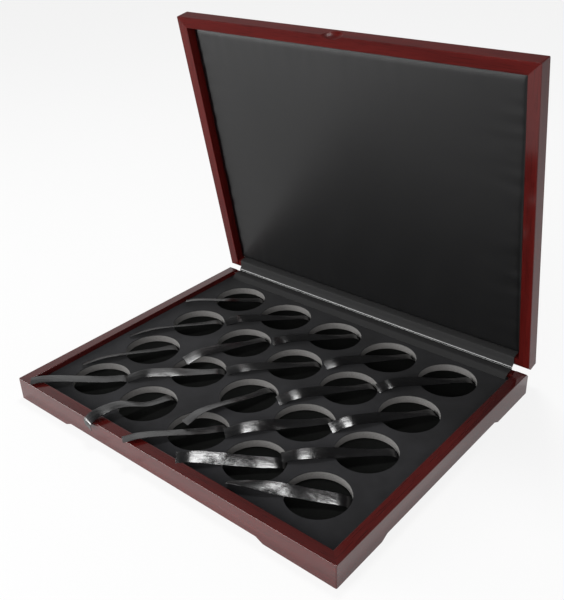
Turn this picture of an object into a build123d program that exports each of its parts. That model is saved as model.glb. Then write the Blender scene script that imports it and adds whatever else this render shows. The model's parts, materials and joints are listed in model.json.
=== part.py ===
"""Wooden coin display case with an open, padded lid and a die-cut foam tray.

The case is modelled in millimetres. X runs along the hinge line, Y from the
front to the hinge, Z up from the plane that the feet stand on. The lid is
built closed and then swung open. The pieces are modelled about the middle of
the base, and saved about the middle of the open case.
"""
import os

from build123d import *

os.makedirs("parts", exist_ok=True)

# Case
case_width = 318.0
case_depth = 252.0
base_height = 19.0
lid_height = 12.5
rail_thickness = 9.0
edge_round = 0.9
rear_chamfer = 3.5
rim_gap = 0.15
lid_open_angle = 79.5

# Feet: shallow cut-outs under the rails leave a foot at each corner
foot_gap_height = 3.0
foot_length_front = 58.0
foot_length_side = 48.0
foot_slope = 6.0

# Base panel, glued into a groove round the rails
base_panel_thickness = 3.0
base_panel_height = 4.5
groove_depth = 4.0
groove_clearance = 0.1

# Foam tray on a black backing card
card_thickness = 0.8
foam_thickness = 6.3
tray_clearance = 0.2
pocket_columns = 5
pocket_rows = 4
pocket_diameter = 46.0
pocket_side_margin = 11.75
pocket_end_margin = 6.4
pocket_shift = 1.7

# Lift ribbons
ribbon_width = 10.0
ribbon_thickness = 0.35
ribbon_rim_clearance = 0.6
ribbon_wall_gap = 1.0
ribbon_lift_reach = 5.0
ribbon_lift_height = 3.4
ribbon_middle_height = 5.2

# Lid panel, lining board and pad
lid_panel_thickness = 3.0
lid_panel_rabbet = 4.0
lining_board_thickness = 1.2
lining_pad_thickness = 2.5
lining_board_clearance = 0.3
lining_pad_inset = 1.4
lining_pad_round = 1.0

# Thumb scoop in the lid's front edge
scoop_width = 18.0
scoop_depth = 2.6

# Hinges
hinge_inset = 62.0
hinge_length = 24.0
knuckle_radius = 2.2
knuckle_length = 8.0
knuckle_gap = 0.15
leaf_thickness = 0.9
leaf_reach = 8.0
leaf_clearance = 0.05
pin_radius = 0.8
pin_clearance = 0.05
swing_clearance = 0.15
screw_head_radius = 1.7
screw_head_depth = 0.8
screw_shank_radius = 0.9
screw_length = 6.0
screw_tip_length = 1.2
screw_clearance = 0.05
screw_slot_width = 0.35
screw_slot_depth = 0.35
screw_offset = 8.0

# Satin strip that hides the hinges
strip_recess = 1.0
strip_thickness = 0.5
strip_end_gap = 4.0
strip_apron = 5.0
strip_lid_clearance = 0.3

# Length of the draped ribbon's end that hangs in front of the case
ribbon_drape = 6.0

half_width = case_width / 2
half_depth = case_depth / 2
inner_width = case_width - 2 * rail_thickness
inner_depth = case_depth - 2 * rail_thickness
card_bottom = base_panel_height + base_panel_thickness
pocket_floor = card_bottom + card_thickness
foam_top = pocket_floor + foam_thickness
pocket_radius = pocket_diameter / 2
lid_bottom = base_height + rim_gap
lid_top = lid_bottom + lid_height
lid_panel_bottom = lid_top - lid_panel_thickness
hinge_y = half_depth
hinge_z = base_height + rim_gap / 2
hinge_axis = Axis((0, hinge_y, hinge_z), (1, 0, 0))
column_pitch = (inner_width - 2 * pocket_side_margin) / pocket_columns
row_pitch = (inner_depth - 2 * pocket_end_margin) / pocket_rows
over_rim = base_height - foam_top + ribbon_rim_clearance

# How each pocket's ribbon lies, hinge row first and left to right: its heading
# in degrees, then points past the pocket's rim as (distance from the pocket's
# centre in pocket pitches, height in foam thicknesses). Heights are above the
# foam, or above the front rail for the ribbons that lie on it.
ribbon_lays = (
    ((227, (0.69, 0.63), (0.92, 0.56)), (229, (0.69, 0.56), (0.98, 0.16)), (231, (0.69, 0.63), (0.99, 0.32)),
     (234, (0.69, 0.56), (0.99, 0.32)), (231, (0.72, 0.71), (1.03, 0.16))),
    ((239, (0.72, 0.48), (1.12, 0.13)), (252, (0.69, 0.48), (1.01, 0.24)), (231, (0.69, 0.56), (1.01, 0.24)),
     (237, (0.69, 0.63), (1.05, 0.16)), (236, (0.76, 0.71), (1.12, 0.24))),
    ((242, (0.69, 0.48), (1.08, 0.16)), (230, (0.69, 0.63), (1.03, 0.24)), (256, (0.69, 0.48), (1.05, 0.16)),
     (233, (0.72, 0.63), (1.08, 0.24)), (226, (0.72, 0.63), (1.08, 0.24))),
    ((231, (0.69, 0.13), (0.99, 0.19)), (255, (0.38, 0.40), (0.70, 0.62)), (237, (0.69, 0.13), (0.99, 0.10)),
     (221, (0.69, 0.00), (0.98, 0.03)), (210, (0.69, 0.63), (1.10, 0.48))),
)
ribbons_over_rail = ((3, 0), (3, 1), (3, 2), (3, 3))
draped_ribbon = (3, 1)


def block(width, depth, height, z_bottom, x=0.0, y=0.0):
    """A box centred at x, y, standing on z_bottom."""
    solid = Box(width, depth, height, align=(Align.CENTER, Align.CENTER, Align.MIN))
    return Pos(x, y, z_bottom) * solid


def opened(solid):
    """Swing a lid piece from closed to where the lid stands open."""
    return solid.rotate(hinge_axis, -lid_open_angle)


pieces = {}


def keep(solid, node):
    pieces[node] = solid


def save_pieces():
    """Write every piece, with the origin under the middle of the open case."""
    middle = Compound(list(pieces.values())).bounding_box().center()
    for node, solid in pieces.items():
        export_step(Pos(-middle.X, -middle.Y, 0) * solid, f"parts/{node}.step")


# Rail frames

def mitre_wedges(height, z_bottom):
    """Four prisms that part a frame into its mitred rails."""
    over = rail_thickness
    outer = [(-half_width - over, -half_depth - over), (half_width + over, -half_depth - over),
             (half_width + over, half_depth + over), (-half_width - over, half_depth + over)]
    reach = 2 * rail_thickness
    inner = [(-half_width + reach, -half_depth + reach), (half_width - reach, -half_depth + reach),
             (half_width - reach, half_depth - reach), (-half_width + reach, half_depth - reach)]
    sides = ("front", "right", "rear", "left")
    wedges = {}
    for index, side in enumerate(sides):
        after = (index + 1) % 4
        corners = Polyline(outer[index], outer[after], inner[after], inner[index], outer[index])
        wedges[side] = Pos(0, 0, z_bottom - 1) * extrude(make_face(corners), height + 2)
    return wedges


def frame_ring(height, z_bottom, rim_up):
    """A rounded rectangular frame whose rear rim edge is chamfered for the hinges."""
    ring = block(case_width, case_depth, height, z_bottom)
    ring -= block(inner_width, inner_depth, height, z_bottom)
    rim_z = z_bottom + height if rim_up else z_bottom
    far_z = z_bottom if rim_up else z_bottom + height

    def edges_at(z):
        return ring.edges().filter_by_position(Axis.Z, z - 0.01, z + 0.01)

    rear = edges_at(rim_z).filter_by_position(Axis.Y, half_depth - 0.01, half_depth + 0.01)
    ring = chamfer(rear, rear_chamfer)
    corners = ring.edges().filter_by(Axis.Z)
    outer_corners = [edge for edge in corners if abs(edge.center().X) > half_width - 1]
    ring = fillet(outer_corners, edge_round)
    front_rim = [edge for edge in edges_at(rim_z) if edge.center().Y < half_depth - rear_chamfer - 1]
    ring = fillet(front_rim, edge_round / 2)
    if not rim_up:
        outer_top = [edge for edge in edges_at(far_z)
                     if max(abs(edge.center().X) - half_width, abs(edge.center().Y) - half_depth) > -1]
        ring = fillet(outer_top, edge_round)
    return ring


def foot_cutter(length, foot_length):
    """Trapezoid prism under a rail; its slopes end at the feet."""
    half_gap = length / 2 - foot_length
    profile = Polyline((-half_gap, 0), (half_gap, 0), (half_gap - foot_slope, foot_gap_height),
                       (-half_gap + foot_slope, foot_gap_height), (-half_gap, 0))
    prism = extrude(Plane.XZ * make_face(profile), 3 * rail_thickness / 2, both=True)
    return prism


def base_rails():
    ring = frame_ring(base_height, 0, rim_up=True)
    ring -= block(inner_width + 2 * groove_depth, inner_depth + 2 * groove_depth,
                  base_panel_thickness, base_panel_height)
    for y in (-half_depth, half_depth):
        ring -= Pos(0, y, 0) * foot_cutter(case_width, foot_length_front)
    for x in (-half_width, half_width):
        ring -= Pos(x, 0, 0) * Rot(0, 0, 90) * foot_cutter(case_depth, foot_length_side)
    ring -= block(inner_width, 2 * rail_thickness, strip_recess, base_height - strip_recess, y=half_depth)
    ring -= hinge_sockets(base_leaf_blank, -1)
    wedges = mitre_wedges(base_height, 0)
    return {side: ring & wedge for side, wedge in wedges.items()}


def lid_rails():
    ring = frame_ring(lid_height, lid_bottom, rim_up=False)
    ring -= block(inner_width + 2 * lid_panel_rabbet, inner_depth + 2 * lid_panel_rabbet,
                  lid_panel_thickness, lid_panel_bottom)
    ring -= block(inner_width, 2 * rail_thickness, strip_recess, lid_bottom, y=half_depth)
    ring -= hinge_sockets(lid_leaf_blank, 1)
    scoop_radius = (scoop_width ** 2 / 4 + scoop_depth ** 2) / (2 * scoop_depth)
    ring -= Pos(0, -half_depth - scoop_radius + scoop_depth, lid_bottom) * Sphere(scoop_radius)
    wedges = mitre_wedges(lid_height, lid_bottom)
    return {side: ring & wedge for side, wedge in wedges.items()}


# Hinges

def hinge_centres():
    offset = half_width - hinge_inset
    return {"left": -offset, "right": offset}


def leaf_top(side):
    """Height of the leaf face that lies under the strip; side is -1 on the base and 1 on the lid."""
    rim = base_height if side < 0 else lid_bottom
    return rim + side * strip_recess


def leaf_plate(side, extra):
    """Leaf plate with its edge under the knuckle line, grown by extra for its socket."""
    height = leaf_thickness + extra
    z_bottom = leaf_top(side) - height if side < 0 else leaf_top(side)
    return block(hinge_length + 2 * extra, leaf_reach + extra, height, z_bottom,
                 y=hinge_y - (leaf_reach + extra) / 2)


def knuckle(length, radius, x=0.0):
    return Pos(x, hinge_y, hinge_z) * Rot(0, 90, 0) * Cylinder(radius, length)


def base_leaf_blank(extra=0.0):
    return leaf_plate(-1, extra)


def lid_leaf_blank(extra=0.0):
    return leaf_plate(1, extra)


def screw(side, grow=0.0):
    """Countersunk screw with its head flush with the leaf, driven away from the rim."""
    radius = screw_shank_radius + grow
    shank_length = screw_length - screw_tip_length
    profile = Polyline((0, 0), (screw_head_radius + grow, 0), (radius, -screw_head_depth),
                       (radius, -shank_length), (0, -screw_length - grow), (0, 0))
    solid = revolve(Plane.XZ * make_face(profile), Axis.Z)
    if grow == 0.0:
        solid -= Box(3 * screw_head_radius, screw_slot_width, 2 * screw_slot_depth)
    return solid if side < 0 else solid.rotate(Axis.X, 180)


def screw_places(side):
    y = hinge_y - (leaf_reach + knuckle_radius) / 2
    return [Pos(x, y, leaf_top(side)) for x in (-screw_offset, screw_offset)]


def hinge_sockets(blank, side):
    """What the rail loses to both leaves and their screws."""
    cuts = []
    for x in hinge_centres().values():
        cuts.append(Pos(x, 0, 0) * blank(leaf_clearance))
        cuts += [Pos(x, 0, 0) * place * screw(side, screw_clearance) for place in screw_places(side)]
    return cuts


def knuckle_spans(side):
    """Centre and length of the knuckles that a leaf carries; the base has the outer two."""
    if side > 0:
        return [(0.0, knuckle_length - 2 * knuckle_gap)]
    offset = (hinge_length - knuckle_length) / 2
    return [(-offset, knuckle_length), (offset, knuckle_length)]


def hinge_leaf(side):
    leaf = base_leaf_blank() if side < 0 else lid_leaf_blank()
    for x, length in knuckle_spans(-side):
        leaf -= knuckle(length + 4 * knuckle_gap, knuckle_radius + swing_clearance, x)
    for x, length in knuckle_spans(side):
        leaf += knuckle(length, knuckle_radius, x)
    leaf -= knuckle(2 * hinge_length, pin_radius + pin_clearance)
    for place in screw_places(side):
        leaf -= place * screw(side, screw_clearance)
    return leaf


def hinge_strip():
    """Satin strip in its open shape: foam edge, base rim, span before the knuckles, lid rim."""
    inner_y = hinge_y - rail_thickness
    span_y = hinge_y - rear_chamfer - strip_recess
    base_level = base_height - strip_recess + strip_thickness / 2
    lid_level = lid_bottom + strip_recess - strip_lid_clearance - strip_thickness / 2
    lid_foot = lid_panel_bottom - lining_board_thickness - lining_pad_thickness
    edge_y = inner_y - strip_thickness / 2
    lid_side = [Vector(0, span_y, lid_level), Vector(0, edge_y - strip_lid_clearance, lid_level),
                Vector(0, edge_y - strip_lid_clearance, lid_foot)]
    lid_side = [Vertex(*point).rotate(hinge_axis, -lid_open_angle).center() for point in lid_side]
    run = [(edge_y - strip_apron, foam_top + strip_thickness / 2), (edge_y, base_level), (span_y, base_level)]
    run += [(point.Y, point.Z) for point in lid_side]
    section = band(run, strip_thickness)
    length = inner_width - 2 * strip_end_gap
    return Pos(-length / 2, 0, 0) * extrude(Plane.YZ * section, length)


def band(points, thickness):
    """A face of even thickness round an open run of points, square at its ends."""
    points = [Vector(*point) for point in points]
    turns = [(after - before).normalized() for before, after in zip(points, points[1:])]
    above, below = [], []
    for index, point in enumerate(points):
        before = turns[max(index - 1, 0)]
        after = turns[min(index, len(turns) - 1)]
        across = (before + after).normalized().rotate(Axis.Z, 90)
        offset = across * (thickness / 2 / across.dot(after.rotate(Axis.Z, 90)))
        above.append(point + offset)
        below.append(point - offset)
    outline = above + below[::-1]
    return make_face(Polyline(*outline, above[0]))


# Tray and ribbons

def pocket_centre(row, column):
    x = (column - (pocket_columns - 1) / 2) * column_pitch
    y = ((pocket_rows - 1) / 2 - row) * row_pitch + pocket_shift
    return x, y


def foam_tray():
    width = inner_width - 2 * tray_clearance
    depth = inner_depth - 2 * tray_clearance
    tray = block(width, depth, foam_thickness, pocket_floor)
    holes = []
    for row in range(pocket_rows):
        for column in range(pocket_columns):
            x, y = pocket_centre(row, column)
            pocket = Cylinder(pocket_radius, 2 * foam_thickness)
            holes.append(Pos(x, y, pocket_floor + foam_thickness / 2) * pocket)
    return tray - holes


def draped_points(row, heading):
    """Points of a ribbon whose end crosses the front rail and hangs before it."""
    slant = Vector(0, -1).rotate(Axis.Z, heading - 270)
    front_y = pocket_centre(row, 0)[1] + half_depth
    corner = ribbon_width / 2 * abs(slant.X)
    beyond = (front_y + corner + ribbon_rim_clearance) / abs(slant.Y)
    return [(beyond, over_rim), (beyond + ribbon_rim_clearance, over_rim - ribbon_drape)]


def ribbon(row, column):
    """Flat ribbon: from the foot of the pocket's wall, up across it and out over the foam."""
    heading, *lay = ribbon_lays[row][column]
    pitch = min(column_pitch, row_pitch)
    lift = over_rim if (row, column) in ribbons_over_rail else 0
    past_rim = [(reach * pitch, lift + rise * foam_thickness) for reach, rise in lay]
    if (row, column) == draped_ribbon:
        past_rim += draped_points(row, heading)
    foot = -pocket_radius + ribbon_wall_gap
    route = [(foot, ribbon_thickness / 2), (foot + ribbon_lift_reach, ribbon_lift_height),
             (0, ribbon_middle_height)]
    route += [(distance, foam_thickness + rise) for distance, rise in past_rim]
    side_face = band(route, ribbon_thickness)
    x, y = pocket_centre(row, column)
    solid = extrude(Plane.XZ * side_face, ribbon_width / 2, both=True)
    return Pos(x, y, pocket_floor) * Rot(0, 0, heading) * solid


# Lid filling

def lid_panel():
    grow = 2 * (lid_panel_rabbet - groove_clearance)
    return block(inner_width + grow, inner_depth + grow, lid_panel_thickness, lid_panel_bottom)


def lining_board():
    shrink = 2 * lining_board_clearance
    return block(inner_width - shrink, inner_depth - shrink, lining_board_thickness,
                 lid_panel_bottom - lining_board_thickness)


def lining_pad():
    shrink = 2 * lining_pad_inset
    bottom = lid_panel_bottom - lining_board_thickness - lining_pad_thickness
    pad = block(inner_width - shrink, inner_depth - shrink, lining_pad_thickness, bottom)
    face_edges = pad.edges().filter_by_position(Axis.Z, bottom - 0.01, bottom + 0.01)
    return fillet(face_edges, lining_pad_round)


# Base

for side, rail in base_rails().items():
    keep(rail, f"base_{side}_rail")
panel_grow = 2 * (groove_depth - groove_clearance)
keep(block(inner_width + panel_grow, inner_depth + panel_grow, base_panel_thickness, base_panel_height),
     "base_panel")
keep(block(inner_width - 2 * tray_clearance, inner_depth - 2 * tray_clearance, card_thickness, card_bottom),
     "tray_backing_card")
keep(foam_tray(), "foam_tray")
for row in range(pocket_rows):
    for column in range(pocket_columns):
        keep(ribbon(row, column), f"lift_ribbon_row{row + 1}_col{column + 1}")

# Lid

for side, rail in lid_rails().items():
    keep(opened(rail), f"lid_{side}_rail")
keep(opened(lid_panel()), "lid_panel")
keep(opened(lining_board()), "lid_lining_board")
keep(opened(lining_pad()), "lid_lining_pad")

# Hinges

for name, x in hinge_centres().items():
    place = Pos(x, 0, 0)
    keep(place * hinge_leaf(-1), f"hinge_{name}_base_leaf")
    keep(opened(place * hinge_leaf(1)), f"hinge_{name}_lid_leaf")
    keep(place * knuckle(hinge_length, pin_radius), f"hinge_{name}_pin")
    keep(Compound([place * spot * screw(-1) for spot in screw_places(-1)]), f"hinge_{name}_base_screws")
    keep(opened(Compound([place * spot * screw(1) for spot in screw_places(1)])), f"hinge_{name}_lid_screws")
keep(hinge_strip(), "hinge_cover_strip")
save_pieces()
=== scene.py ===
import bpy
import json
import math
from mathutils import Matrix, Vector, noise


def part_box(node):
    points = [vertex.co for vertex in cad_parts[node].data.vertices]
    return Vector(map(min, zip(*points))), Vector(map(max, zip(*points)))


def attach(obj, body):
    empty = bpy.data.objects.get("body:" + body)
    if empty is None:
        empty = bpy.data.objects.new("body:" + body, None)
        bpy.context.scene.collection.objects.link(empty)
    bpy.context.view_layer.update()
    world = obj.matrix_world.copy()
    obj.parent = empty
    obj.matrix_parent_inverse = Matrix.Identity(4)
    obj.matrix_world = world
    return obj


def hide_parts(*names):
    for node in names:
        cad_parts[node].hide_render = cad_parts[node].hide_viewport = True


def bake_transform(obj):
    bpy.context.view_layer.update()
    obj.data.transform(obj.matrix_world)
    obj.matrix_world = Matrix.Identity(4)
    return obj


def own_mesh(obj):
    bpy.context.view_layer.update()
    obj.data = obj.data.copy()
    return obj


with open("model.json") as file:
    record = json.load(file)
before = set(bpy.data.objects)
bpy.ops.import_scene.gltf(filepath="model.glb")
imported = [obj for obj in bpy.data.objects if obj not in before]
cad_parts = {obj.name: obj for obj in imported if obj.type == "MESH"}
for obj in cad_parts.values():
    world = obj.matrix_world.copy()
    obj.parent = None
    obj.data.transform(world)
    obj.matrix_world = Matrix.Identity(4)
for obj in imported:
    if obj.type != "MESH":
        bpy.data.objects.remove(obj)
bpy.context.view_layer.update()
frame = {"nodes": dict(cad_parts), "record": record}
record = frame["record"]

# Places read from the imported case
hingeJoint = record["behaviour"]["joints"][0]
hingePoint = Vector(hingeJoint["pos_m"])
openAngle = math.radians(max(hingeJoint["range_deg"]))
frontLow, frontHigh = [Vector(corner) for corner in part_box("base_front_rail")]
rearHigh = Vector(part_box("base_rear_rail")[1])
foamLow, foamHigh = [Vector(corner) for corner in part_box("foam_tray")]
rimHeight = frontHigh.z
caseDepth = rearHigh.y - frontLow.y
baseCentre = Vector((0, (frontLow.y + rearHigh.y) / 2, 0))

# Sizes that more than one piece uses, in metres
caseWork = {
    "halfWidth": 0.159,
    "railThickness": 0.009,
    "lidHeight": 0.0125,
    "lidPanelThickness": 0.003,
    "liningBoardThickness": 0.0012,
}


def lidPoint(x, fromHinge, depth):
    # A point of the open lid: along the hinge, out from it, and in from the rim plane
    out = Vector((0, -math.cos(openAngle), math.sin(openAngle)))
    inward = Vector((0, math.sin(openAngle), math.cos(openAngle)))
    rim = hingePoint.z - rimHeight
    return Vector((x, hingePoint.y, hingePoint.z)) + out * fromHinge + inward * (depth + rim)


def deselect():
    if bpy.context.object and bpy.context.object.mode != "OBJECT":
        bpy.ops.object.mode_set(mode="OBJECT")
    bpy.ops.object.select_all(action="DESELECT")


def selectOnly(piece):
    deselect()
    piece.select_set(True)
    bpy.context.view_layer.objects.active = piece


def newGrid(name, across, along):
    # A flat grid whose UV map runs 0 to 1 both ways; the caller puts its points in place
    deselect()
    bpy.ops.mesh.primitive_grid_add(x_subdivisions=across, y_subdivisions=along, size=1)
    piece = bpy.context.object
    piece.name = name
    return piece


def thicken(piece, thickness):
    # Gives a sheet its thickness, half to each side
    solid = piece.modifiers.new("thickness", "SOLIDIFY")
    solid.thickness = thickness
    solid.offset = 0
    selectOnly(piece)
    bpy.ops.object.modifier_apply(modifier=solid.name)
    bpy.ops.object.shade_smooth_by_angle(angle=math.radians(40))
    deselect()


def smoothRun(points, count):
    # Even steps along a smooth curve through the points
    run = [points[0] * 2 - points[1]] + points + [points[-1] * 2 - points[-2]]
    samples = []
    samplesPerSpan = 24
    for index in range(1, len(run) - 2):
        before, start, end, after = run[index - 1:index + 3]
        for step in range(samplesPerSpan):
            t = step / samplesPerSpan
            samples.append(0.5 * ((2 * start) + (end - before) * t
                                  + (2 * before - 5 * start + 4 * end - after) * t * t
                                  + (3 * start - before - 3 * end + after) * t ** 3))
    samples.append(points[-1])
    lengths = [0.0]
    for first, second in zip(samples, samples[1:]):
        lengths.append(lengths[-1] + (second - first).length)
    even = []
    place = 0
    for step in range(count + 1):
        wanted = lengths[-1] * step / count
        while place < len(lengths) - 2 and lengths[place + 1] < wanted:
            place += 1
        span = max(lengths[place + 1] - lengths[place], 1e-9)
        share = (wanted - lengths[place]) / span
        even.append(samples[place].lerp(samples[place + 1], share))
    return even, lengths[-1]


def runDirection(points, place):
    before, after = points[max(place - 1, 0)], points[min(place + 1, len(points) - 1)]
    return (after - before).normalized()


# Materials

def newMaterial(name):
    material = bpy.data.materials.new(name)
    material.use_nodes = True
    return material, material.node_tree, material.node_tree.nodes["Principled BSDF"]


def setMaterial(piece, material):
    piece.data.materials.clear()
    piece.data.materials.append(material)


def link(tree, source, target):
    tree.links.new(source, target)


def addNode(tree, kind, **values):
    # A value sets a property of the node where it has one, and otherwise an input
    node = tree.nodes.new("ShaderNode" + kind)
    for key, value in values.items():
        if hasattr(node, key):
            setattr(node, key, value)
        else:
            node.inputs[key].default_value = value
    return node


def addMath(tree, operation, first, second):
    # Each side is a number or another node's output
    node = addNode(tree, "Math", operation=operation)
    for socket, value in zip(node.inputs, (first, second)):
        if isinstance(value, (int, float)):
            socket.default_value = value
        else:
            link(tree, value, socket)
    return node.outputs["Value"]


def addRamp(tree, factor, stops):
    ramp = tree.nodes.new("ShaderNodeValToRGB")
    link(tree, factor, ramp.inputs["Fac"])
    elements = ramp.color_ramp.elements
    while len(elements) < len(stops):
        elements.new(0.5)
    for element, (place, colour) in zip(elements, stops):
        element.position = place
        element.color = (*colour, 1)
    return ramp.outputs["Color"]


def addBump(tree, height, strength, depth, under=None):
    bump = addNode(tree, "Bump", Strength=strength, Distance=depth)
    link(tree, height, bump.inputs["Height"])
    if under:
        link(tree, under, bump.inputs["Normal"])
    return bump.outputs["Normal"]


def mappedObject(tree, rotation, scale, location=(0, 0, 0)):
    # Two nodes, so that the point is turned first and stretched afterwards
    coordinates = tree.nodes.new("ShaderNodeTexCoord")
    turned = addNode(tree, "Mapping", Rotation=rotation)
    link(tree, coordinates.outputs["Object"], turned.inputs["Vector"])
    stretched = addNode(tree, "Mapping", Scale=scale, Location=location)
    link(tree, turned.outputs["Vector"], stretched.inputs["Vector"])
    return stretched.outputs["Vector"]


def grey(level):
    return (level, level, level)


woodFinish = {
    "dark": (0.046, 0.0036, 0.0031),
    "middle": (0.060, 0.0047, 0.0040),
    "light": (0.074, 0.0062, 0.0050),
    "roughness": 0.40,
    "specular": 0.03,
    "coatRoughness": 0.11,
    "coatIor": 1.6,
    "figureAlong": 5.0,     # noise cells in a metre
    "figureAcross": 70.0,
    "poresAlong": 60.0,
    "poresAcross": 1500.0,
    "poreShade": 0.25,
    "poreShare": 0.45,
    "poreBump": 0.12,
    "poreDepth": 0.0002,
}


def woodMaterial(name, grain, seed, coat):
    # grain is a rotation that brings the grain's direction to X
    finish = woodFinish
    material, tree, shader = newMaterial(name)
    shift = (seed * 1.7, seed * 0.9, seed * 2.3)    # so that no two boards are alike
    figureScale = (finish["figureAlong"], finish["figureAcross"], finish["figureAcross"])
    figure = addNode(tree, "TexNoise", Scale=1.0, Detail=5.0, Roughness=0.55, Distortion=0.8)
    link(tree, mappedObject(tree, grain, figureScale, shift), figure.inputs["Vector"])
    poreScale = (finish["poresAlong"], finish["poresAcross"], finish["poresAcross"])
    pores = addNode(tree, "TexNoise", Scale=1.0, Detail=2.0, Roughness=0.5)
    link(tree, mappedObject(tree, grain, poreScale, shift), pores.inputs["Vector"])
    colour = addRamp(tree, figure.outputs["Fac"], [
        (0.30, finish["dark"]), (0.52, finish["middle"]), (0.74, finish["light"])])
    poreColour = addRamp(tree, pores.outputs["Fac"], [
        (0.34, grey(finish["poreShade"])), (0.46, grey(1))])
    mixed = addNode(tree, "Mix", data_type="RGBA", blend_type="MULTIPLY")
    mixed.inputs["Factor"].default_value = finish["poreShare"]
    link(tree, colour, mixed.inputs["A"])
    link(tree, poreColour, mixed.inputs["B"])
    link(tree, mixed.outputs["Result"], shader.inputs["Base Color"])
    normal = addBump(tree, pores.outputs["Fac"], finish["poreBump"], finish["poreDepth"])
    link(tree, normal, shader.inputs["Normal"])
    shader.inputs["Roughness"].default_value = finish["roughness"]
    shader.inputs["Specular IOR Level"].default_value = finish["specular"]
    shader.inputs["Coat Weight"].default_value = coat
    shader.inputs["Coat Roughness"].default_value = finish["coatRoughness"]
    shader.inputs["Coat IOR"].default_value = finish["coatIor"]
    return material


foamFinish = {
    "face": (0.0085, 0.0085, 0.0095),
    "faceLight": (0.016, 0.016, 0.018),
    "core": (0.16, 0.155, 0.15),
    "coreDark": (0.08, 0.078, 0.075),
    "faceThickness": 0.0005,
    "patches": 30.0,        # in a metre, as are the cells and the flock
    "cells": 1800.0,
    "flock": 2600.0,
    "flockBump": 0.35,
    "flockDepth": 0.0002,
    "roughness": 0.95,
    "specular": 0.15,
    "sheen": 0.06,
    "sheenRoughness": 0.5,
}


def foamMaterial():
    # Black flock bonded to a grey foam core: the core shows in the cut walls
    finish = foamFinish
    material, tree, shader = newMaterial("flockedFoam")
    place = mappedObject(tree, (0, 0, 0), (1, 1, 1))
    split = tree.nodes.new("ShaderNodeSeparateXYZ")
    link(tree, place, split.inputs["Vector"])
    faceFrom = foamHigh.z - finish["faceThickness"]
    onFace = addMath(tree, "GREATER_THAN", split.outputs["Z"], faceFrom)
    flock = addNode(tree, "TexNoise", Scale=finish["flock"], Detail=2.0, Roughness=0.7)
    link(tree, place, flock.inputs["Vector"])
    patches = addNode(tree, "TexNoise", Scale=finish["patches"], Detail=3.0, Roughness=0.6)
    link(tree, place, patches.inputs["Vector"])
    faceColour = addRamp(tree, patches.outputs["Fac"], [
        (0.35, finish["face"]), (0.7, finish["faceLight"])])
    cells = addNode(tree, "TexVoronoi", Scale=finish["cells"])
    link(tree, place, cells.inputs["Vector"])
    coreColour = addRamp(tree, cells.outputs["Distance"], [
        (0.1, finish["coreDark"]), (0.6, finish["core"])])
    colour = addNode(tree, "Mix", data_type="RGBA")
    link(tree, onFace, colour.inputs["Factor"])
    link(tree, coreColour, colour.inputs["A"])
    link(tree, faceColour, colour.inputs["B"])
    link(tree, colour.outputs["Result"], shader.inputs["Base Color"])
    normal = addBump(tree, flock.outputs["Fac"], finish["flockBump"], finish["flockDepth"])
    link(tree, normal, shader.inputs["Normal"])
    shader.inputs["Roughness"].default_value = finish["roughness"]
    shader.inputs["Specular IOR Level"].default_value = finish["specular"]
    shader.inputs["Sheen Weight"].default_value = finish["sheen"]
    shader.inputs["Sheen Roughness"].default_value = finish["sheenRoughness"]
    return material


cardFinish = {
    "black": (0.0045, 0.0050, 0.0045),
    "blackRoughness": 0.95,
    "board": (0.30, 0.27, 0.22),
    "boardRoughness": 0.85,
    "fibres": 900.0,
    "fibreShade": 0.6,
    "fibreBump": 0.2,
    "fibreDepth": 0.0001,
    "specular": 0.1,
}


def cardMaterial(name, colour, roughness):
    finish = cardFinish
    material, tree, shader = newMaterial(name)
    fibres = addNode(tree, "TexNoise", Scale=finish["fibres"], Detail=4.0, Roughness=0.65)
    link(tree, mappedObject(tree, (0, 0, 0), (1, 0.4, 1)), fibres.inputs["Vector"])
    darker = tuple(channel * finish["fibreShade"] for channel in colour)
    shade = addRamp(tree, fibres.outputs["Fac"], [(0.3, darker), (0.7, colour)])
    link(tree, shade, shader.inputs["Base Color"])
    normal = addBump(tree, fibres.outputs["Fac"], finish["fibreBump"], finish["fibreDepth"])
    link(tree, normal, shader.inputs["Normal"])
    shader.inputs["Roughness"].default_value = roughness
    shader.inputs["Specular IOR Level"].default_value = finish["specular"]
    return material


brassFinish = {
    "dull": (0.45, 0.30, 0.11),
    "bright": (0.75, 0.55, 0.25),
    "dullRoughness": 0.42,
    "brightRoughness": 0.26,
    "wear": 700.0,
}


def brassMaterial():
    finish = brassFinish
    material, tree, shader = newMaterial("hingeBrass")
    wear = addNode(tree, "TexNoise", Scale=finish["wear"], Detail=4.0, Roughness=0.6)
    link(tree, mappedObject(tree, (0, 0, 0), (0.3, 1, 1)), wear.inputs["Vector"])
    colour = addRamp(tree, wear.outputs["Fac"], [
        (0.3, finish["dull"]), (0.7, finish["bright"])])
    link(tree, colour, shader.inputs["Base Color"])
    gloss = addRamp(tree, wear.outputs["Fac"], [
        (0.3, grey(finish["dullRoughness"])), (0.7, grey(finish["brightRoughness"]))])
    link(tree, gloss, shader.inputs["Roughness"])
    shader.inputs["Metallic"].default_value = 1.0
    return material


# What every satin piece shares
satinWork = {
    "threadShade": 0.55,
    "weaveBump": 0.10,
    "weaveDepth": 0.0001,
    "cockleBump": 0.45,
    "cockleDepth": 0.0005,
    "mattRoughness": 0.90,
}


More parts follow.
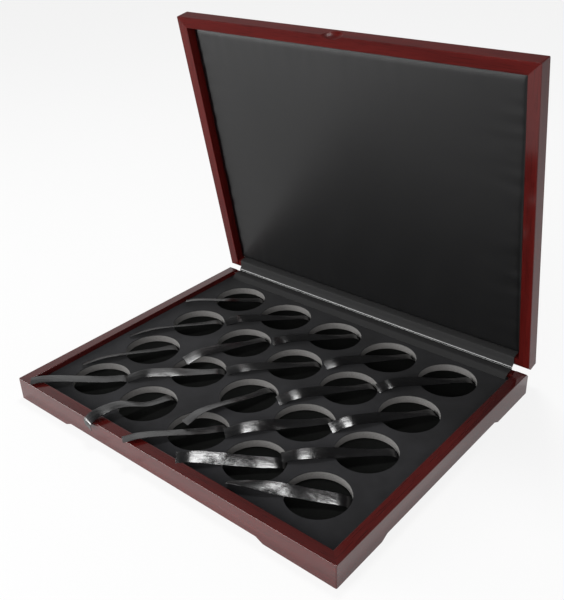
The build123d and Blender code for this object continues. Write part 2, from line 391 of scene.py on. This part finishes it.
def satinMaterial(name, finish, foldShares=None):
    # threads and cockles are how many the UV map holds, across and along. foldShares are
    # where along the piece its gloss over a fold starts, is full, starts to fall and ends
    work = satinWork
    colour = finish["colour"]
    material, tree, shader = newMaterial(name)
    coordinates = tree.nodes.new("ShaderNodeTexCoord")
    threads = addNode(tree, "Mapping", Scale=(*finish["threads"], 1))
    link(tree, coordinates.outputs["UV"], threads.inputs["Vector"])
    weave = addNode(tree, "TexNoise", Scale=1.0, Detail=1.5, Roughness=0.5)
    link(tree, threads.outputs["Vector"], weave.inputs["Vector"])
    darker = tuple(channel * work["threadShade"] for channel in colour)
    shade = addRamp(tree, weave.outputs["Fac"], [(0.35, darker), (0.65, colour)])
    link(tree, shade, shader.inputs["Base Color"])
    soft = None
    if "cockles" in finish:
        spread = addNode(tree, "Mapping", Scale=(*finish["cockles"], 1))
        link(tree, coordinates.outputs["UV"], spread.inputs["Vector"])
        cockle = addNode(tree, "TexNoise", Scale=1.0, Detail=2.0, Roughness=0.5)
        link(tree, spread.outputs["Vector"], cockle.inputs["Vector"])
        soft = addBump(tree, cockle.outputs["Fac"], work["cockleBump"], work["cockleDepth"])
    normal = addBump(tree, weave.outputs["Fac"], work["weaveBump"], work["weaveDepth"], soft)
    link(tree, normal, shader.inputs["Normal"])
    shader.inputs["Roughness"].default_value = finish["roughness"]
    if foldShares:
        # Stretched over a fold the satin shines, and beside it the pile is matt
        split = tree.nodes.new("ShaderNodeSeparateXYZ")
        link(tree, coordinates.outputs["UV"], split.inputs["Vector"])
        matt, gloss = grey(work["mattRoughness"]), grey(finish["roughness"])
        fold = addRamp(tree, split.outputs["Y"],
                       list(zip(foldShares, (matt, gloss, gloss, matt))))
        link(tree, fold, shader.inputs["Roughness"])
    shader.inputs["Specular IOR Level"].default_value = finish["specular"]
    if "highlightSpread" in finish:
        # The floats of the weave spread a highlight across themselves
        threadway = addNode(tree, "Tangent", direction_type="UV_MAP")
        link(tree, threadway.outputs["Tangent"], shader.inputs["Tangent"])
        shader.inputs["Anisotropic"].default_value = finish["highlightSpread"]
        shader.inputs["Anisotropic Rotation"].default_value = finish["highlightTurn"]
    return material


# Turns that bring the grain to X, then each board's grain, seed and lacquer
alongX = (0, 0, 0)
alongY = (0, 0, math.pi / 2)
alongLid = (openAngle, 0, math.pi / 2)
woods = {
    "base_front_rail": (alongX, 1, 1.0),
    "base_rear_rail": (alongX, 2, 1.0),
    "base_left_rail": (alongY, 3, 1.0),
    "base_right_rail": (alongY, 4, 1.0),
    "lid_front_rail": (alongX, 5, 0.04),
    "lid_rear_rail": (alongX, 6, 0.25),
    "lid_left_rail": (alongLid, 7, 0.25),
    "lid_right_rail": (alongLid, 8, 0.5),
    "base_panel": (alongX, 9, 1.0),
    "lid_panel": (alongX, 10, 0.5),
}


def dressCadNodes():
    nodes = frame["nodes"]
    card = cardFinish
    for node, (grain, seed, coat) in woods.items():
        setMaterial(nodes[node], woodMaterial("wood_" + node, grain, seed, coat))
    setMaterial(nodes["foam_tray"], foamMaterial())
    setMaterial(nodes["tray_backing_card"],
                cardMaterial("blackCard", card["black"], card["blackRoughness"]))
    setMaterial(nodes["lid_lining_board"],
                cardMaterial("liningBoard", card["board"], card["boardRoughness"]))
    brass = brassMaterial()
    for node in nodes:
        if node.startswith("hinge_") and node != "hinge_cover_strip":
            setMaterial(nodes[node], brass)
    print("CAD nodes dressed")


# Lift ribbons

ribbonWork = {
    "width": 0.010,
    "thickness": 0.00035,
    "pocketRadius": 0.023,
    "pocketPitch": 0.0553,
    "pocketShift": 0.0017,      # of all the pockets, back from the tray's middle
    "wallGap": 0.001,
    "liftReach": 0.005,
    "liftHeight": 0.0034,
    "middleHeight": 0.0052,
    "rimClearance": 0.0006,
    "drape": 0.006,
    "camber": 0.00025,
    "ripple": 0.00015,
    "ripplesAlong": 7,
    "ripplesAcross": 0.6,
    "freeFrom": 0.3,            # share of the length from which it is free to camber
    "halfwayShare": 0.55,       # share of the length that has the halfway twist
    "rows": 56,
    "columns": 6,
}
ribbonSatin = {
    "colour": (0.003, 0.003, 0.0034),
    "roughness": 0.24,
    "specular": 0.9,
    "threads": (30, 420),
    "cockles": (4, 9),
    "highlightSpread": 0.85,
    "highlightTurn": 0,
}
# Each ribbon's heading in degrees, then its points past the pocket's rim as
# (distance in pocket pitches, height in foam thicknesses, sideways in metres),
# then its twist in degrees in the pocket, halfway and at the tip
ribbonLays = (
    ((227, ((0.69, 0.63, 0.001), (0.92, 0.56, 0.001)), (12, 16, 16)),
     (229, ((0.69, 0.56, 0.001), (0.98, 0.16, 0)), (22, -4, -12)),
     (231, ((0.69, 0.63, 0.001), (0.99, 0.32, 0)), (22, -4, -10)),
     (234, ((0.69, 0.56, 0), (0.99, 0.32, 0)), (22, -8, -12)),
     (231, ((0.72, 0.71, 0), (1.03, 0.16, 0)), (24, -8, -10))),
    ((239, ((0.72, 0.48, 0), (1.12, 0.13, 0)), (22, 24, 22)),
     (250, ((0.69, 0.48, -0.001), (1.01, 0.24, 0.001)), (24, -8, -10)),
     (231, ((0.69, 0.56, 0.001), (1.01, 0.24, 0)), (24, -2, -8)),
     (237, ((0.69, 0.63, 0), (1.05, 0.16, 0)), (24, -9, -10)),
     (236, ((0.76, 0.71, 0), (1.12, 0.24, 0)), (24, -9, -10))),
    ((242, ((0.69, 0.48, 0), (1.08, 0.16, 0)), (20, 22, 20)),
     (230, ((0.69, 0.63, 0), (1.03, 0.24, 0.001)), (18, -9, -5)),
     (256, ((0.69, 0.48, -0.002), (1.05, 0.16, 0.001)), (24, 18, 12)),
     (233, ((0.72, 0.63, 0), (1.08, 0.24, 0)), (14, -14, -8)),
     (226, ((0.72, 0.63, 0.001), (1.08, 0.24, 0)), (20, -9, -6))),
    ((231, ((0.69, 0.13, 0), (0.99, 0.19, 0)), (6, 4, 2)),
     (255, ((0.38, 0.40, -0.001), (0.70, 0.62, 0)), (24, 0, -4)),
     (237, ((0.69, 0.13, 0), (0.99, 0.10, 0)), (14, 13, 12)),
     (221, ((0.69, 0.00, 0), (0.98, 0.03, 0)), (-14, -16, -12)),
     (210, ((0.69, 0.63, 0.001), (1.10, 0.48, -0.001)), (-10, -13, 28))),
)
ribbonsOverRail = ((3, 0), (3, 1), (3, 2), (3, 3))
drapedRibbon = (3, 1)
overRim = rimHeight - foamHigh.z + ribbonWork["rimClearance"]


def pocketCentre(row, column):
    work = ribbonWork
    middle = (foamLow + foamHigh) / 2
    x = middle.x + (column - 2) * work["pocketPitch"]
    y = middle.y + (1.5 - row) * work["pocketPitch"] + work["pocketShift"]
    return Vector((x, y, foamLow.z))


def drapedPoints(row, heading):
    # A ribbon's end that crosses the front rail and hangs before it
    work = ribbonWork
    slant = math.radians(heading - 270)
    toFace = pocketCentre(row, 0).y - frontLow.y
    corner = work["width"] / 2 * abs(math.sin(slant))
    beyond = (toFace + corner + work["rimClearance"]) / math.cos(slant)
    return [(beyond, overRim, 0),
            (beyond + work["rimClearance"], overRim - work["drape"], 0)]


def ribbonRoute(row, column):
    # Points as (distance from the pocket's centre, height above the card, sideways)
    work = ribbonWork
    heading, lay, twists = ribbonLays[row][column]
    foamThickness = foamHigh.z - foamLow.z
    lift = overRim if (row, column) in ribbonsOverRail else 0
    pastRim = [(reach * work["pocketPitch"], lift + rise * foamThickness, aside)
               for reach, rise, aside in lay]
    if (row, column) == drapedRibbon:
        pastRim += drapedPoints(row, heading)
    foot = -work["pocketRadius"] + work["wallGap"]
    route = [(foot, work["thickness"] / 2, 0),
             (foot + work["liftReach"], work["liftHeight"], 0),
             (0, work["middleHeight"], 0)]
    route += [(distance, foamThickness + height, aside) for distance, height, aside in pastRim]
    return heading, route, twists


def ribbonTwist(twists, along):
    # Degrees of twist at a share of the ribbon's length
    inPocket, halfway, tip = twists
    halfwayShare = ribbonWork["halfwayShare"]
    if along < halfwayShare:
        share = along / halfwayShare
        fromPocket = inPocket * math.sin(math.pi * min(share, 0.5)) * (1 - share)
        return fromPocket + halfway * share * share
    share = (along - halfwayShare) / (1 - halfwayShare)
    return halfway + (tip - halfway) * share * share * (3 - 2 * share)


def makeRibbon(row, column, satin):
    work = ribbonWork
    heading, route, twists = ribbonRoute(row, column)
    turn = math.radians(heading)
    ahead = Vector((math.cos(turn), math.sin(turn), 0))
    side = Vector((-ahead.y, ahead.x, 0))
    centre = pocketCentre(row, column)
    knots = [centre + ahead * distance + side * aside + Vector((0, 0, height))
             for distance, height, aside in route]
    points, length = smoothRun(knots, work["rows"])
    ribbon = newGrid(f"ribbon_row{row + 1}_col{column + 1}", work["columns"], work["rows"])
    for vertex in ribbon.data.vertices:
        across = vertex.co.x
        along = vertex.co.y + 0.5
        place = min(int(round(along * work["rows"])), work["rows"])
        tangent = runDirection(points, place)
        twist = math.radians(ribbonTwist(twists, along))
        lateral = Matrix.Rotation(twist, 3, tangent) @ side
        upward = tangent.cross(lateral)
        if upward.z < 0:
            upward = -upward
        free = min(1.0, along / work["freeFrom"])
        camber = work["camber"] * (1 - 4 * across * across) * free
        waves = Vector((along * work["ripplesAlong"], across * work["ripplesAcross"],
                        row * 7 + column))
        ripple = work["ripple"] * free * noise.noise(waves)
        vertex.co = points[place] + lateral * across * work["width"] + upward * (camber + ripple)
    thicken(ribbon, work["thickness"])
    setMaterial(ribbon, satin)
    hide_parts(f"lift_ribbon_row{row + 1}_col{column + 1}")
    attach(ribbon, "base")
    if (row, column) in ribbonsOverRail:
        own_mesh(ribbon)


def makeRibbons():
    satin = satinMaterial("ribbonSatin", ribbonSatin)
    for row in range(4):
        for column in range(5):
            makeRibbon(row, column, satin)
    print("ribbons laid")


# Lid lining

liningWork = {
    "face": 0.0056,             # inside its rolled edge, in from the rim plane
    "crown": 0.0042,
    "edgeRoll": 0.0065,
    "inset": 0.0005,
    "pucker": 0.0005,
    "puckerStart": 0.002,
    "puckerReach": 0.016,
    "puckersAlong": 110,        # noise cells in a metre
    "puckersInward": 20,
    "swell": 0.0004,
    "swellStart": 0.01,
    "swells": 14,
    "back": 0.00005,
    "columns": 180,
    "rows": 144,
}
liningSatin = {
    "colour": (0.0015, 0.0015, 0.0018),
    "roughness": 0.33,
    "specular": 0.27,
    "threads": (1500, 1200),
    "highlightSpread": 0.9,
    "highlightTurn": 0.25,
}


def closePad(pad):
    # Gives the pad its flat back against the board
    selectOnly(pad)
    inward = (lidPoint(0, 0, 1) - lidPoint(0, 0, 0)).normalized()
    bpy.ops.object.mode_set(mode="EDIT")
    bpy.ops.mesh.select_all(action="SELECT")
    bpy.ops.mesh.region_to_loop()
    bpy.ops.mesh.extrude_region_move(
        TRANSFORM_OT_translate={"value": inward * liningWork["back"]})
    bpy.ops.mesh.edge_face_add()
    bpy.ops.mesh.select_all(action="SELECT")
    bpy.ops.mesh.normals_make_consistent(inside=False)
    bpy.ops.object.mode_set(mode="OBJECT")
    bpy.ops.object.shade_smooth_by_angle(angle=math.radians(60))
    deselect()


def makeLining():
    work = liningWork
    boardDepth = (caseWork["lidHeight"] - caseWork["lidPanelThickness"]
                  - caseWork["liningBoardThickness"])
    halfWidth = caseWork["halfWidth"] - caseWork["railThickness"] - work["inset"]
    nearHinge = caseWork["railThickness"] + work["inset"]
    farEnd = caseDepth - caseWork["railThickness"] - work["inset"]
    pad = newGrid("lid_lining", work["columns"], work["rows"])
    for vertex in pad.data.vertices:
        x = vertex.co.x * 2 * halfWidth
        out = nearHinge + (vertex.co.y + 0.5) * (farEnd - nearHinge)
        edgeX = halfWidth - abs(x)
        edgeY = min(out - nearHinge, farEnd - out)
        edge = min(edgeX, edgeY)
        byEnd = edgeY < edgeX
        roll = min(edge / work["edgeRoll"], 1.0)
        height = (boardDepth - work["face"]) * math.sqrt(max(0.0, 1 - (1 - roll) ** 2))
        crownX, crownY = x / halfWidth, (out - farEnd / 2) / (farEnd / 2)
        height += work["crown"] * (1 - crownX ** 2) * (1 - crownY ** 2)
        along = x if byEnd else out
        pull = math.exp(-edge / work["puckerReach"]) * min(edge / work["puckerStart"], 1.0)
        puckers = Vector((along * work["puckersAlong"], edge * work["puckersInward"],
                          3.1 if byEnd else 8.7))
        height += work["pucker"] * pull * noise.noise(puckers)
        swells = Vector((x * work["swells"], out * work["swells"], 1.3))
        height += work["swell"] * min(edge / work["swellStart"], 1.0) * noise.noise(swells)
        vertex.co = lidPoint(x, out, boardDepth - max(height, 0.0))
    closePad(pad)
    setMaterial(pad, satinMaterial("liningSatin", liningSatin))
    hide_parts("lid_lining_pad")
    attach(pad, "lid")
    print("lining padded")


# Strip over the hinges

stripWork = {
    "endGap": 0.004,
    "recess": 0.001,
    "thickness": 0.0005,
    "railClearance": 0.0001,
    "lidClearance": 0.0003,
    "apron": 0.0052,
    "apronLift": 0.0004,
    # Over the base rail's inner edge: toward the hinge from it, and above the recess
    "edgePoints": ((-0.0026, -0.0016), (-0.0003, -0.0001), (0.0026, 0.0)),
    "fold": 0.0009,
    "foldFromHinge": 0.0027,
    "foldStart": 1.6,
    # Up the fold: back and up, in shares of its size
    "foldPoints": ((-0.5, 0.25), (0.0, 0.9), (0.3, 2.2)),
    "lidStart": 0.0042,
    "lidStartLift": 0.0004,
    "lidEdge": 0.0006,
    "lidEdgeDrop": 0.0010,
    "tuckDepth": 0.0079,
    "glossShares": (-0.06, -0.03, 0.04, 0.07),
    "wave": 0.0002,
    "wavesAlong": 45,
    "wavesOver": 0.05,
    "steps": 80,
    "columns": 180,
}
stripSatin = {
    "colour": (0.002, 0.002, 0.0023),
    "roughness": 0.17,
    "specular": 0.7,
    "threads": (1500, 150),
}


def makeStrip():
    work = stripWork
    rail = caseWork["railThickness"]
    halfLength = caseWork["halfWidth"] - rail - work["endGap"]
    innerY = hingePoint.y - rail
    baseZ = rimHeight - work["recess"] + work["thickness"] / 2 + work["railClearance"]
    foldY = hingePoint.y - work["foldFromHinge"]
    fold = work["fold"]
    foldStartY = foldY - fold * work["foldStart"]
    baseRun = [Vector((0, innerY - work["apron"], foamHigh.z + work["apronLift"]))]
    baseRun += [Vector((0, innerY + over, baseZ + up)) for over, up in work["edgePoints"]]
    baseRun += [Vector((0, foldStartY, baseZ))]
    foldRun = [Vector((0, foldY + fold * back, baseZ + fold * up))
               for back, up in work["foldPoints"]]
    lidDepth = work["recess"] - work["lidClearance"] - work["thickness"] / 2
    pastEdge = rail + work["lidEdge"]
    lidRun = [lidPoint(0, work["lidStart"], lidDepth - work["lidStartLift"]),
              lidPoint(0, rail - work["lidEdge"], lidDepth),
              lidPoint(0, pastEdge, lidDepth + work["lidEdgeDrop"]),
              lidPoint(0, pastEdge, work["tuckDepth"])]
    steps = work["steps"]
    run, length = smoothRun(baseRun + foldRun + lidRun, steps)
    foldTop = foldRun[1]
    foldShare = min(range(steps + 1), key=lambda step: (run[step] - foldTop).length) / steps
    strip = newGrid("hinge_cover", work["columns"], steps)
    for vertex in strip.data.vertices:
        place = min(int(round((vertex.co.y + 0.5) * steps)), steps)
        x = vertex.co.x * 2 * halfLength
        tangent = runDirection(run, place)
        face = Vector((0, -tangent.z, tangent.y))
        middle = math.sin(math.pi * place / steps)
        waves = Vector((x * work["wavesAlong"], place * work["wavesOver"], 0.7))
        wave = work["wave"] * middle * (0.5 + noise.noise(waves))
        point = run[place] + face * max(wave, 0.0)
        vertex.co = (x, point.y, point.z)
    thicken(strip, work["thickness"])
    glossShares = [foldShare + shift for shift in work["glossShares"]]
    setMaterial(strip, satinMaterial("stripSatin", stripSatin, glossShares))
    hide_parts("hinge_cover_strip")
    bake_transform(strip)
    print("hinge strip laid")


# Floor, lights and camera

stageWork = {
    "floorSize": 12.0,
    "floorColour": (0.75, 0.75, 0.75),
    "floorRoughness": 0.9,
    "floorWhite": 0.85,         # how far the camera sees the floor as plain white
    "whiteInGloss": 0.4,        # the share of that which a reflection sees
    "skyStrength": 0.8,
    # The sky's grey by height, from 0 at the horizon to 1 overhead
    "skyGreys": ((0.0, 1), (0.45, 1), (0.60, 0.30), (0.75, 0.06)),
}


def makeFloor():
    work = stageWork
    deselect()
    bpy.ops.mesh.primitive_plane_add(size=work["floorSize"], location=(0, 0, 0))
    floor = bpy.context.object
    floor.name = "floor"
    material, tree, shader = newMaterial("paleFloor")
    shader.inputs["Base Color"].default_value = (*work["floorColour"], 1)
    shader.inputs["Roughness"].default_value = work["floorRoughness"]
    rays = tree.nodes.new("ShaderNodeLightPath")
    straight = addMath(tree, "MAXIMUM", rays.outputs["Is Camera Ray"],
                       rays.outputs["Is Transmission Ray"])
    inGloss = addMath(tree, "MULTIPLY", rays.outputs["Is Glossy Ray"], work["whiteInGloss"])
    seen = addMath(tree, "MAXIMUM", straight, inGloss)
    share = addMath(tree, "MULTIPLY", seen, work["floorWhite"])
    white = addNode(tree, "Emission", Strength=1.0)
    blend = tree.nodes.new("ShaderNodeMixShader")
    link(tree, share, blend.inputs["Fac"])
    link(tree, shader.outputs["BSDF"], blend.inputs[1])
    link(tree, white.outputs["Emission"], blend.inputs[2])
    link(tree, blend.outputs["Shader"], tree.nodes["Material Output"].inputs["Surface"])
    setMaterial(floor, material)


def makeSky():
    work = stageWork
    world = bpy.data.worlds.new("studio")
    bpy.context.scene.world = world
    world.use_nodes = True
    tree = world.node_tree
    coordinates = tree.nodes.new("ShaderNodeTexCoord")
    split = tree.nodes.new("ShaderNodeSeparateXYZ")
    link(tree, coordinates.outputs["Generated"], split.inputs["Vector"])
    sky = addRamp(tree, split.outputs["Z"],
                  [(height, grey(level)) for height, level in work["skyGreys"]])
    background = tree.nodes["Background"]
    link(tree, sky, background.inputs["Color"])
    background.inputs["Strength"].default_value = work["skyStrength"]


# Each lamp's place, the point it faces, its width and height, and its watts
lampWork = {
    "frontLeft": ((-0.62, -1.02, 0.30), (-0.10, 0.0, 0.10), (1.5, 0.3), 18),
    "frontRight": ((0.70, -1.05, 0.70), (0, 0.05, 0.10), (0.9, 0.7), 8),
    "overhead": ((-0.22, 0.28, 1.30), (0, 0, 0.05), (0.32, 0.32), 9),
}


def makeLamps():
    for name, (place, aim, size, watts) in lampWork.items():
        deselect()
        bpy.ops.object.light_add(type="AREA", location=place)
        lamp = bpy.context.object
        lamp.name = name
        lamp.data.shape = "RECTANGLE"
        lamp.data.size, lamp.data.size_y = size
        lamp.data.energy = watts
        direction = Vector(aim) - Vector(place)
        lamp.rotation_euler = direction.to_track_quat("-Z", "Y").to_euler()


cameraWork = {
    "azimuth": 41.02,
    "elevation": 28.76,
    "roll": -2.06,
    "distance": 0.7571,
    "lens": 49.0,
    "target": (-0.0728, 0.1008, 0.019),     # from under the middle of the base
}


def makeCamera():
    work = cameraWork
    deselect()
    bpy.ops.object.camera_add()
    camera = bpy.context.object
    camera.data.lens = work["lens"]
    camera.data.clip_start = 0.01
    turn = (Matrix.Rotation(math.radians(work["azimuth"]), 4, "Z")
            @ Matrix.Rotation(math.radians(90 - work["elevation"]), 4, "X")
            @ Matrix.Rotation(math.radians(work["roll"]), 4, "Z"))
    target = baseCentre + Vector(work["target"])
    back = Matrix.Translation((0, 0, work["distance"]))
    camera.matrix_world = Matrix.Translation(target) @ turn @ back
    bpy.context.scene.camera = camera


dressCadNodes()
makeRibbons()
makeLining()
makeStrip()
makeFloor()
makeSky()
makeLamps()
makeCamera()
bpy.context.scene.view_settings.view_transform = "Standard"
print("stage, lamps and camera set")
